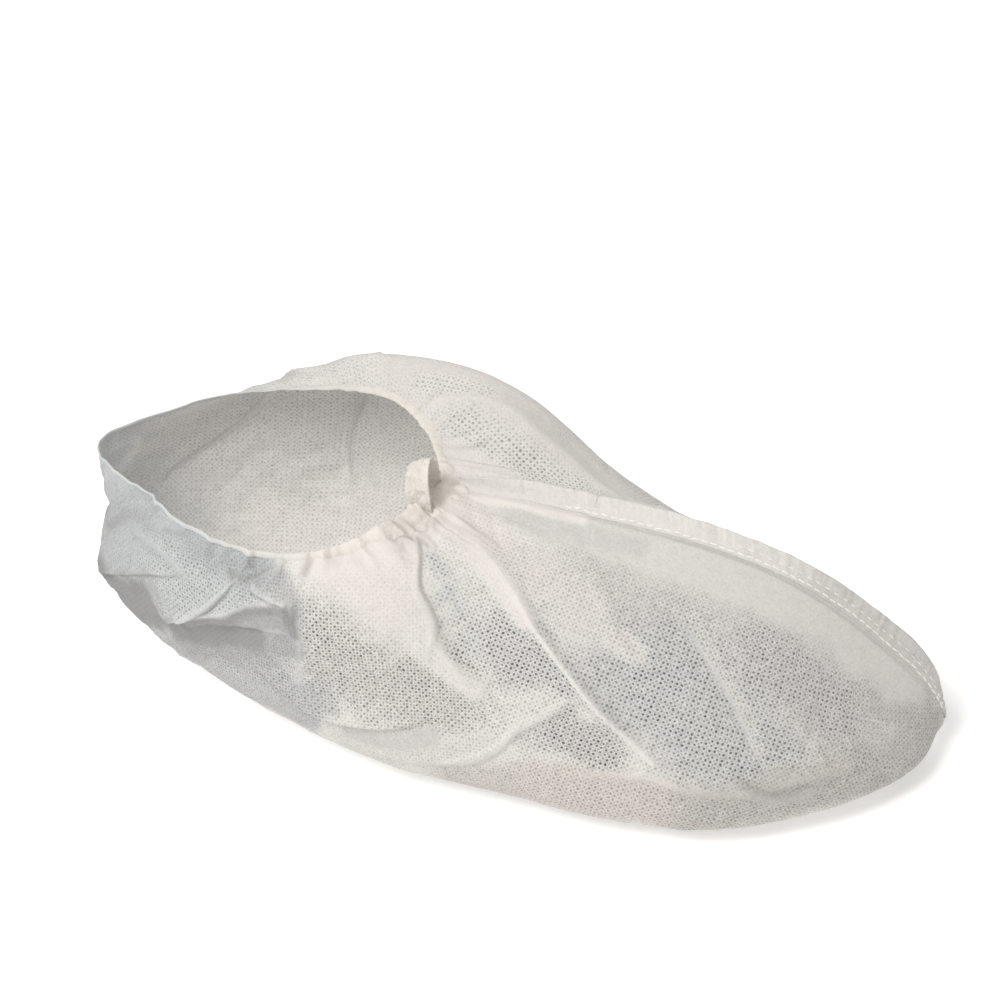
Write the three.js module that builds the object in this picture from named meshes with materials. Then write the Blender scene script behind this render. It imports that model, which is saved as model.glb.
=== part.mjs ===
// Disposable shoe cover of white non-woven cloth, in the form it has over a shoe.
// One folded blank makes the sole, sides, heel and toe. Its front edges are sewn together along the
// instep into a low fin, and a gathered elastic hem draws it in round the ankle.
// Millimetres: +X to the toe, -Y to the near side, +Z up, and the sole lies on z = 0.

import * as THREE from "three";
import { mergeVertices } from "three/addons/utils/BufferGeometryUtils.js";

// Driving dimensions
const WALL = 1.2;
const GAP = 0.3;
const HEM_WIDTH = 8;
const HEM_THICKNESS = 2.4;
const GATHER_COUNT = 21;
const GATHER_DEPTH = 1.4;
const GATHER_REACH = 14;
const GATHER_SWAY = 0.7;
const FIN_WIDTH = 8;
const FIN_THICKNESS = 1.2;
const FIN_LEAN = THREE.MathUtils.degToRad(46);
const FIN_END = "belly";
const FIN_TIP_SHARE = 0.4;
const FIN_TAPER_SHARE = 0.12;
const TAPE_WIDTH = 9;
const TAPE_THICKNESS = 1.2;
const TAPE_FEET = [new THREE.Vector3(-25, -14, 100.2), new THREE.Vector3(-24, 6, 99.5)];
const TAPE_HEIGHT = 13.4;

// Ribs of the bag, each from the ankle opening out and down to the sole, in order round the foot
const COLUMNS = ["rim", "shoulder", "flank", "belly", "edge", "spine"];
const SECTIONS = {
  seam: [[-20, 0, 98], [40, 0, 92], [109, 0, 73], [162, 0, 18], [147, 0, 0], [125, 0, 0]],
  toe_near: [[-22, -6, 98], [40, -20, 84], [105, -36, 56], [149, -35, 14], [134, -25, 0], [117, 0, 0]],
  ball_near: [[-25, -15, 99], [25, -34, 82], [67, -55, 48], [92, -66, 14], [85, -50, 0], [75, 0, 0]],
  waist_near: [[-33, -27, 99], [-10, -42, 83], [7, -58, 50], [20, -67, 15], [19, -49, 0], [19, 0, 0]],
  arch_near: [[-51, -38, 96], [-52, -49, 81], [-52, -58, 50], [-51, -58, 17], [-49, -37, 0], [-45, 0, 0]],
  ankle_near: [[-85, -40, 95], [-92, -45, 79], [-103, -47, 52], [-109, -40, 24], [-97, -22, 0], [-87, 0, 0]],
  cup_near: [[-126, -26, 99], [-136, -29, 80], [-147, -28, 56], [-144, -25, 35], [-127, -13, 0], [-115, 0, 0]],
  heel: [[-154, 0, 100], [-156, 0, 78], [-162, 0, 56], [-165, 0, 37], [-139, 0, 0], [-125, 0, 0]],
  cup_far: [[-126, 26, 101], [-136, 31, 86], [-147, 29, 56], [-144, 25, 35], [-127, 13, 0], [-115, 0, 0]],
  ankle_far: [[-85, 40, 102], [-91, 54, 99], [-100, 55, 58], [-109, 41, 24], [-97, 22, 0], [-87, 0, 0]],
  arch_far: [[-51, 38, 103], [-51, 58, 108], [-49, 66, 62], [-49, 57, 17], [-49, 37, 0], [-45, 0, 0]],
  waist_far: [[-33, 25, 102], [-8, 53, 101], [6, 64, 58], [20, 61, 15], [19, 45, 0], [19, 0, 0]],
  ball_far: [[-25, 14, 100], [25, 30, 80], [67, 46, 44], [92, 58, 14], [85, 45, 0], [75, 0, 0]],
  toe_far: [[-22, 6, 98], [40, 17, 82], [105, 25, 52], [148, 32, 14], [133, 24, 0], [117, 0, 0]],
};

// Folds of the cloth, each along places given as [rib, column] counted from the seam and from the rim.
// A fold stands by its rise at the crest and runs out over one width to its left and another to its right.
const FOLDS = {
  long_crease: { path: [[1.5, 0.3], [2.1, 0.9], [2.2, 1.6], [2.1, 2.5]], rise: 4, left: 18, right: 9 },
  overlap: { path: [[2.7, 0.3], [3.1, 0.9], [3.1, 1.4], [3.0, 1.9]], rise: 4, left: 7, right: 16 },
  hollow: { path: [[2.6, 0.6], [2.7, 1.2], [2.6, 1.8]], rise: -3, left: 14, right: 14 },
  pouch: { path: [[4.0, 2.6], [3.6, 2.7], [3.1, 2.5], [2.6, 2.0]], rise: 4, left: 20, right: 11 },
  heel_tuck: { path: [[5.4, 2.3], [4.9, 1.5], [4.3, 1.0]], rise: 5, left: 18, right: 7 },
  heel_diagonal: { path: [[5.3, 2.0], [4.9, 1.0], [4.6, 0.4]], rise: 3, left: 8, right: 8 },
  heel_line: { path: [[7.4, 2.2], [6.4, 2.3], [5.6, 1.6]], rise: 2, left: 9, right: 12 },
  heel_waist: { path: [[7.6, 1.3], [6.6, 1.2], [6.0, 0.6]], rise: -2.5, left: 10, right: 10 },
  toe_valley: { path: [[1.0, 1.5], [1.3, 2.1], [1.5, 2.5]], rise: -2.5, left: 16, right: 16 },
  toe_crease: { path: [[1.3, 2.6], [0.7, 2.7], [0.2, 2.8]], rise: 2, left: 10, right: 8 },
  far_crease: { path: [[10.5, 0.5], [11.2, 0.8], [11.6, 1.0], [12.3, 1.2]], rise: 3, left: 12, right: 12 },
};

// Smooth surface of the bag: rails run round the foot, and a rib crosses them from rim to sole
const sections = Object.values(SECTIONS);
const SPANS = sections.length;
const SOLE_EDGE = COLUMNS.indexOf("edge");
const SPINE = COLUMNS.indexOf("spine");
const rails = COLUMNS.map((_, column) => {
  const stops = [...sections, sections[0]].map((section) => new THREE.Vector3(...section[column]));
  return new THREE.CatmullRomCurve3(stops);
});

function ribAt(turn) {
  return new THREE.CatmullRomCurve3(rails.map((rail) => rail.getPoint(turn / SPANS)));
}

function placeOn(rib, down) {
  const place = rib.getPoint(down / SPINE);
  place.z = down >= SOLE_EDGE ? 0 : Math.max(0, place.z);
  return place;
}

// Grid of the outer face, rib by rib: the first two rows bound the hem and the rest hold the bag
const STEPS_PER_SPAN = 7;
const ROWS_PER_COLUMN = [5, 6, 5, 3, 3];
const HEM_ROWS = 2;

function rowsOf(rib) {
  const reach = rib.points[0].distanceTo(rib.points[1]);
  const top = (HEM_WIDTH + GAP) / reach;
  const downs = [0, HEM_WIDTH / reach, top];
  ROWS_PER_COLUMN.forEach((count, column) => {
    const start = Math.max(top, column);
    for (let step = 1; step <= count; step += 1) {
      downs.push(start + ((column + 1 - start) * step) / count);
    }
  });
  return downs;
}

const ribs = Array.from({ length: SPANS * STEPS_PER_SPAN + 1 }, (_, step) => {
  const turn = step / STEPS_PER_SPAN;
  const rib = ribAt(turn);
  return { turn, rib, downs: rowsOf(rib) };
});

// Corners of the triangles of a grid of points, with the outer side facing away from the foot
function facesOf(grid) {
  const corners = [];
  for (let i = 0; i + 1 < grid.length; i += 1) {
    for (let k = 0; k + 1 < grid[i].length; k += 1) {
      const [a, b, c, d] = [grid[i][k], grid[i][k + 1], grid[i + 1][k + 1], grid[i + 1][k]];
      corners.push(a, c, b, a, d, c);
    }
  }
  return corners;
}

// Normals at the points of a grid, shared where its two ends meet along the seam and the sole
function normalsOf(grid) {
  const sums = new Map();
  const keyOf = (point) => point.toArray().map((value) => Math.round(value * 1e4)).join();
  const corners = facesOf(grid);
  for (let i = 0; i < corners.length; i += 3) {
    const [a, b, c] = corners.slice(i, i + 3);
    const area = new THREE.Vector3().crossVectors(b.clone().sub(a), c.clone().sub(a));
    for (const corner of [a, b, c]) {
      sums.set(keyOf(corner), (sums.get(keyOf(corner)) ?? new THREE.Vector3()).add(area));
    }
  }
  return grid.map((rib) => rib.map((point) => sums.get(keyOf(point)).clone().normalize()));
}

// Crest of a fold as a run of points on the smooth surface
const CREST_STEPS = 8;

function crestOf({ path }) {
  const crest = [];
  for (let i = 0; i + 1 < path.length; i += 1) {
    for (let step = 0; step < CREST_STEPS; step += 1) {
      const share = step / CREST_STEPS;
      const turn = THREE.MathUtils.lerp(path[i][0], path[i + 1][0], share);
      const down = THREE.MathUtils.lerp(path[i][1], path[i + 1][1], share);
      crest.push(placeOn(ribAt(turn), down));
    }
  }
  return crest;
}

const creases = Object.values(FOLDS).map((fold) => ({ ...fold, crest: crestOf(fold) }));

// Height of one fold at a point: a round crest that fades out at both of its ends
function foldHeight({ crest, rise, left, right }, point, normal) {
  let nearest = 0;
  crest.forEach((stop, i) => {
    if (stop.distanceToSquared(point) < crest[nearest].distanceToSquared(point)) nearest = i;
  });
  const ahead = crest[Math.min(nearest + 1, crest.length - 1)];
  const behind = crest[Math.max(nearest - 1, 0)];
  const along = ahead.clone().sub(behind).normalize();
  const offset = point.clone().sub(crest[nearest]);
  const side = new THREE.Vector3().crossVectors(normal, along).dot(offset);
  const spread = offset.length() / (side > 0 ? left : right);
  const fade = Math.sin((Math.PI * (nearest + 1)) / (crest.length + 1)) ** 0.5;
  return spread >= 1 ? 0 : rise * fade * 0.5 * (1 + Math.cos(Math.PI * spread));
}

// Gathers at the hem: deep at the throat, slight round the heel, gone a little below the hem
function gatherHeight(turn, fromRim) {
  const depth = GATHER_DEPTH * 0.5 * (1 + GATHER_SWAY * Math.cos((2 * Math.PI * turn) / SPANS));
  return depth * Math.cos((2 * Math.PI * GATHER_COUNT * turn) / SPANS) * Math.exp(-fromRim / GATHER_REACH);
}

const smooth = ribs.map(({ rib, downs }) => downs.map((down) => placeOn(rib, down)));
const smoothNormals = normalsOf(smooth);
const outer = smooth.map((places, i) =>
  places.map((place, k) => {
    const { turn, downs } = ribs[i];
    const normal = smoothNormals[i][k];
    const hold = THREE.MathUtils.clamp(SOLE_EDGE - downs[k], 0, 1);
    const folded = creases.reduce((sum, crease) => sum + foldHeight(crease, place, normal), 0);
    const height = hold * (folded + gatherHeight(turn, place.distanceTo(places[0])));
    const moved = place.clone().addScaledVector(normal, height);
    moved.z = Math.max(0, moved.z);
    return moved;
  }),
);
outer[outer.length - 1] = outer[0];
const outerNormals = normalsOf(outer);

function offsetGrid(distance) {
  return outer.map((places, i) =>
    places.map((place, k) => {
      const moved = place.clone().addScaledVector(outerNormals[i][k], distance);
      moved.z = ribs[i].downs[k] >= SOLE_EDGE ? -distance : moved.z;
      return moved;
    }),
  );
}

const WELD = 1e-4;

function solidOf(corners) {
  return mergeVertices(new THREE.BufferGeometry().setFromPoints(corners), WELD);
}

// Bag: the outer face, the inner face and the raw edge under the hem
function bagGeometry() {
  const outside = outer.map((rib) => rib.slice(HEM_ROWS));
  const inside = offsetGrid(-WALL).map((rib) => rib.slice(HEM_ROWS));
  const lining = inside.map((rib, i) => [...rib.toReversed(), outside[i][0]]);
  return solidOf([...facesOf(outside), ...facesOf(lining)]);
}

// Hem: a thicker band that carries on from the bag's wall round the opening
function hemGeometry() {
  const proud = (HEM_THICKNESS - WALL) / 2;
  const front = offsetGrid(proud).map((rib) => rib.slice(0, HEM_ROWS));
  const back = offsetGrid(proud - HEM_THICKNESS).map((rib) => rib.slice(0, HEM_ROWS));
  return solidOf(facesOf(front.map((rib, i) => [...rib, ...back[i].toReversed(), rib[0]])));
}

// Bar through a run of four-cornered loops, with both ends closed
function barGeometry(loops) {
  const [start, end] = [loops[0], loops[loops.length - 1]];
  const caps = [start[0], start[1], start[2], start[0], start[2], start[3]];
  caps.push(end[0], end[2], end[1], end[0], end[3], end[2]);
  return solidOf([...facesOf(loops.map((loop) => [...loop, loop[0]])), ...caps]);
}

// Fin of the seam: stands off the ridge, leans to the far side and narrows at both ends
const FIN_STEPS = 36;

function finGeometry() {
  const lastRow = ribs[0].downs.findIndex((down) => down >= COLUMNS.indexOf(FIN_END));
  const ridge = new THREE.CatmullRomCurve3(outer[0].slice(HEM_ROWS, lastRow + 1));
  const root = GAP + (FIN_THICKNESS / 2) * Math.sin(FIN_LEAN);
  const loops = Array.from({ length: FIN_STEPS + 1 }, (_, step) => {
    const share = step / FIN_STEPS;
    const foot = ridge.getPointAt(share);
    const along = ridge.getTangentAt(share);
    const up = new THREE.Vector3(-along.z, 0, along.x).normalize().multiplyScalar(Math.cos(FIN_LEAN));
    const stand = up.setY(Math.sin(FIN_LEAN));
    const across = new THREE.Vector3().crossVectors(stand, along).multiplyScalar(FIN_THICKNESS / 2);
    const width = FIN_WIDTH * Math.min(1, FIN_TIP_SHARE + Math.min(share, 1 - share) / FIN_TAPER_SHARE);
    const low = foot.clone().addScaledVector(stand, root);
    const high = low.clone().addScaledVector(stand, width);
    return [low.clone().sub(across), high.clone().sub(across), high.add(across), low.add(across)];
  });
  return barGeometry(loops);
}

// Loop of tape: a low arch from the near hem to the far hem at the throat
const TAPE_STEPS = 14;

function tapeGeometry() {
  const [near, far] = TAPE_FEET;
  const middle = near.clone().lerp(far, 0.5);
  const half = far.clone().sub(near).multiplyScalar(0.5);
  const side = new THREE.Vector3(TAPE_WIDTH / 2, 0, 0);
  const loops = Array.from({ length: TAPE_STEPS + 1 }, (_, step) => {
    const angle = (Math.PI * step) / TAPE_STEPS;
    const ring = (grow) =>
      middle
        .clone()
        .addScaledVector(half, -Math.cos(angle) * (1 + grow / half.length()))
        .setZ(middle.z + Math.sin(angle) * (TAPE_HEIGHT + grow));
    const inner = ring(-TAPE_THICKNESS);
    const outside = ring(0);
    return [inner.clone().add(side), outside.clone().add(side), outside.sub(side), inner.sub(side)];
  });
  return barGeometry(loops);
}

// The put-together cover: every piece is cut from or sewn with the same white cloth
const PIECES = [
  { name: "cover_body", geometry: bagGeometry(), colour: "#eceae6", roughness: 0.85 },
  { name: "elastic_hem", geometry: hemGeometry(), colour: "#f1efeb", roughness: 0.88 },
  { name: "instep_seam", geometry: finGeometry(), colour: "#e6e3de", roughness: 0.85 },
  { name: "throat_loop", geometry: tapeGeometry(), colour: "#e9e5df", roughness: 0.88 },
];

const cover = new THREE.Group();
cover.name = "shoe_cover";
for (const { name, geometry, colour, roughness } of PIECES) {
  const material = new THREE.MeshStandardMaterial({ color: colour, roughness, metalness: 0 });
  const piece = new THREE.Mesh(geometry, material);
  piece.name = name;
  cover.add(piece);
}

export default cover;
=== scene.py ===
# Disposable shoe cover in the form that it has over a shoe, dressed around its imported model.
# Metres, in the model's frame: +X to the toe, -Y to the near side, +Z up, with the sole on z = 0.
import math

import bmesh
import bpy
import numpy as np
from mathutils import Matrix, Vector, noise


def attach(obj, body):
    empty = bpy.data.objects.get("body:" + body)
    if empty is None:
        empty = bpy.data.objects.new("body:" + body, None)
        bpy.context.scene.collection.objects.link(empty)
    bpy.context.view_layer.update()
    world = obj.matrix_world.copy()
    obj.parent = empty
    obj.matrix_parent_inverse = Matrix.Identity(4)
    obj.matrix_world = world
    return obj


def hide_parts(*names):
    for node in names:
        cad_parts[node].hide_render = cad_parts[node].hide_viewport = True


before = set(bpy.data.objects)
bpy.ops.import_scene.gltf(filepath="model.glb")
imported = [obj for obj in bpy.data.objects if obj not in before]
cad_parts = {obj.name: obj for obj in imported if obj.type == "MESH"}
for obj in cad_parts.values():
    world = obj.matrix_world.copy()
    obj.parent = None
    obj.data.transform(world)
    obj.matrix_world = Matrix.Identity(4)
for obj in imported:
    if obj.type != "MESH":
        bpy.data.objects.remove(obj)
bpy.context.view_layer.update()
scene = bpy.context.scene


# Camera
# It looks down on the near side from the toe's quarter, tipped a little, as the picture was taken.
# Its focal length is given in pixels of a square picture.
VIEW_AZIMUTH = math.radians(22)
VIEW_HEIGHT = math.radians(41)
VIEW_TIP = math.radians(-7.7)
VIEW_DISTANCE = 0.844
VIEW_TARGET = Vector((-0.0184, 0.0532, 0.045))
FOCAL_PIXELS = 2150
PICTURE_PIXELS = 1000

view_back = Vector((
    math.sin(VIEW_AZIMUTH) * math.cos(VIEW_HEIGHT),
    -math.cos(VIEW_AZIMUTH) * math.cos(VIEW_HEIGHT),
    math.sin(VIEW_HEIGHT),
))
view_right = Vector((math.cos(VIEW_AZIMUTH), math.sin(VIEW_AZIMUTH), 0))
view_turn = Matrix((view_right, view_back.cross(view_right), view_back)).transposed()
view_turn = Matrix.Rotation(VIEW_TIP, 3, view_back) @ view_turn
camera = bpy.data.objects.new("camera", bpy.data.cameras.new("camera"))
camera.data.lens = FOCAL_PIXELS / PICTURE_PIXELS * camera.data.sensor_width
camera.matrix_world = Matrix.Translation(VIEW_TARGET + view_back * VIEW_DISTANCE) @ view_turn.to_4x4()
scene.collection.objects.link(camera)
scene.camera = camera


# Studio
# A pale paper floor, lit a little from within like a light table, under a softbox over the near side.
# A broad weak panel at the heel and one behind give the faint shadows of a cut-out product picture.
FLOOR_SIZE = 8
FLOOR_COLOUR = (0.95, 0.95, 0.945, 1)
FLOOR_ROUGHNESS = 0.9
FLOOR_GLOW = 0.3
SKY_COLOUR = (1, 0.985, 0.97, 1)
SKY_STRENGTH = 0.35
PANELS = {
    "overhead": dict(place=(-0.2, -0.55, 1.15), size=0.5, power=11, colour=(1, 0.975, 0.945)),
    "heel_panel": dict(place=(-1.3, -0.4, 0.8), size=0.9, power=1.2, colour=(0.84, 0.92, 1)),
    "far_panel": dict(place=(0.3, 1.2, 1.0), size=1.0, power=4.5, colour=(1, 0.98, 0.95)),
}


class Wire:
    """An output socket of a material, with sums in Python that add Math nodes to its tree."""

    def __init__(self, finish, socket):
        self.finish = finish
        self.socket = socket

    def maths(self, operation, *values):
        return self.finish.node("ShaderNodeMath", {"operation": operation}, dict(enumerate(values)))

    def __add__(self, other):
        return self.maths("ADD", self, other)

    def __sub__(self, other):
        return self.maths("SUBTRACT", self, other)

    def __rsub__(self, other):
        return self.maths("SUBTRACT", other, self)

    def __mul__(self, other):
        return self.maths("MULTIPLY", self, other)

    def clamp(self):
        return self.finish.node("ShaderNodeClamp", {}, {"Value": self})

    def fall(self, full, none):
        """1 up to full, 0 from none on, and a smooth fall between them."""
        ends = {"Value": self, "From Min": full, "From Max": none, "To Min": 1, "To Max": 0}
        return self.finish.node("ShaderNodeMapRange", {"interpolation_type": "SMOOTHSTEP"}, ends)

    __radd__ = __add__
    __rmul__ = __mul__


class Finish:
    """A material under construction, whose nodes come from one method."""

    def __init__(self, name):
        self.material = bpy.data.materials.new(name)
        self.material.use_nodes = True
        self.tree = self.material.node_tree
        self.tree.nodes.clear()

    def node(self, kind, settings, sockets, output=0):
        """Adds a node: its settings, then the values or wires of its sockets. Returns one output."""
        made = self.tree.nodes.new(kind)
        for name, value in settings.items():
            setattr(made, name, value)
        for name, value in sockets.items():
            if isinstance(value, Wire):
                self.tree.links.new(value.socket, made.inputs[name])
            else:
                made.inputs[name].default_value = value
        return Wire(self, made.outputs[output]) if made.outputs else None

    def blend(self, share, first, second):
        """Colour between first and second."""
        FACTOR, FIRST, SECOND, RESULT = 0, 6, 7, 2
        colours = {FACTOR: share, FIRST: first, SECOND: second}
        return self.node("ShaderNodeMix", {"data_type": "RGBA"}, colours, RESULT)

    def attribute(self, name):
        """Number that the piece carries at each vertex."""
        return self.node("ShaderNodeAttribute", {"attribute_name": name}, {}, "Fac")

    def clouds(self, where, scale, detail=3, rough=0.65):
        """Cloudy noise about zero, with so many clouds to the metre."""
        sockets = {"Vector": where, "Scale": scale, "Detail": detail, "Roughness": rough}
        return self.node("ShaderNodeTexNoise", {}, sockets) - 0.5

    def done(self, surface):
        self.node("ShaderNodeOutputMaterial", {}, {"Surface": surface})
        return self.material


def piece_of(name, shape, material):
    """Object of a finished bmesh, at the origin, with smooth faces and one material."""
    mesh = bpy.data.meshes.new(name)
    shape.to_mesh(mesh)
    shape.free()
    mesh.shade_smooth()
    mesh.materials.append(material)
    piece = bpy.data.objects.new(name, mesh)
    scene.collection.objects.link(piece)
    return piece


paper = Finish("floor_paper")
paper_face = paper.node("ShaderNodeBsdfPrincipled", {}, {
    "Base Color": FLOOR_COLOUR,
    "Roughness": FLOOR_ROUGHNESS,
    "Emission Color": FLOOR_COLOUR,
    "Emission Strength": FLOOR_GLOW,
})
floor_shape = bmesh.new()
bmesh.ops.create_grid(floor_shape, x_segments=1, y_segments=1, size=FLOOR_SIZE / 2)
floor = piece_of("floor", floor_shape, paper.done(paper_face))

for panel_name, panel in PANELS.items():
    lamp = bpy.data.lights.new(panel_name, "AREA")
    lamp.size = panel["size"]
    lamp.energy = panel["power"]
    lamp.color = panel["colour"]
    stand = bpy.data.objects.new(panel_name, lamp)
    stand.location = panel["place"]
    stand.rotation_euler = Vector(panel["place"]).to_track_quat("Z", "Y").to_euler()
    scene.collection.objects.link(stand)

scene.world = bpy.data.worlds.new("studio")
scene.world.use_nodes = True
sky = scene.world.node_tree.nodes["Background"]
sky.inputs["Color"].default_value = SKY_COLOUR
sky.inputs["Strength"].default_value = SKY_STRENGTH
scene.view_settings.view_transform = "Standard"


# Bag
# One sheet of white spunbonded web, folded under the sole and sewn shut along the instep and heel.
# It hangs loose from the ankle elastic, so it stands in soft bulges with sharp creases between them.
MM = 0.001
BAG_COLUMNS = ("rim", "shoulder", "flank", "belly", "edge", "spine")
SOLE_EDGE = BAG_COLUMNS.index("edge")
SPINE = BAG_COLUMNS.index("spine")
BAG_SECTIONS = {
    "seam": ((-20, 0, 98), (40, 0, 93), (110, 0, 74), (163, 0, 17), (153, 0, 0), (125, 0, 0)),
    "toe_near": ((-22, -6, 98), (40, -20, 84), (105, -36, 56), (147, -34, 14), (132, -24, 0), (117, 0, 0)),
    "ball_near": ((-25, -15, 99), (25, -34, 82), (67, -55, 48), (92, -66, 14), (85, -50, 0), (75, 0, 0)),
    "waist_near": ((-33, -27, 99), (-10, -42, 83), (7, -58, 50), (20, -67, 15), (19, -49, 0), (19, 0, 0)),
    "arch_near": ((-51, -38, 96), (-52, -49, 81), (-52, -58, 50), (-51, -58, 17), (-49, -37, 0), (-45, 0, 0)),
    "ankle_near": (
        (-85, -40, 95), (-92, -45, 79), (-103, -47, 52), (-109, -40, 24), (-97, -22, 0), (-87, 0, 0)),
    "cup_near": (
        (-126, -26, 103), (-136, -29, 80), (-147, -28, 56), (-144, -25, 35), (-127, -13, 0), (-115, 0, 0)),
    "heel": ((-154, 0, 100), (-156, 0, 78), (-162, 0, 56), (-165, 0, 37), (-139, 0, 0), (-125, 0, 0)),
    "cup_far": (
        (-126, 26, 101), (-136, 31, 86), (-147, 29, 56), (-144, 25, 35), (-127, 13, 0), (-115, 0, 0)),
    "ankle_far": ((-85, 40, 102), (-91, 54, 99), (-100, 55, 58), (-109, 41, 24), (-97, 22, 0), (-87, 0, 0)),
    "arch_far": ((-51, 38, 103), (-51, 58, 109), (-49, 66, 62), (-49, 57, 17), (-49, 37, 0), (-45, 0, 0)),
    "waist_far": ((-33, 25, 102), (-8, 54, 102), (9, 65, 60), (20, 61, 15), (19, 45, 0), (19, 0, 0)),
    "ball_far": ((-25, 14, 100), (25, 30, 80), (66, 49, 47), (92, 58, 14), (85, 45, 0), (75, 0, 0)),
    "toe_far": ((-22, 6, 98), (40, 17, 82), (105, 25, 52), (148, 32, 14), (133, 24, 0), (117, 0, 0)),
}
SPANS = len(BAG_SECTIONS)
NEAR_STEPS = 56
FAR_STEPS = 28
WALL_ROWS = 140
SOLE_ROWS = 6
FINE_ROWS = 160

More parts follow.
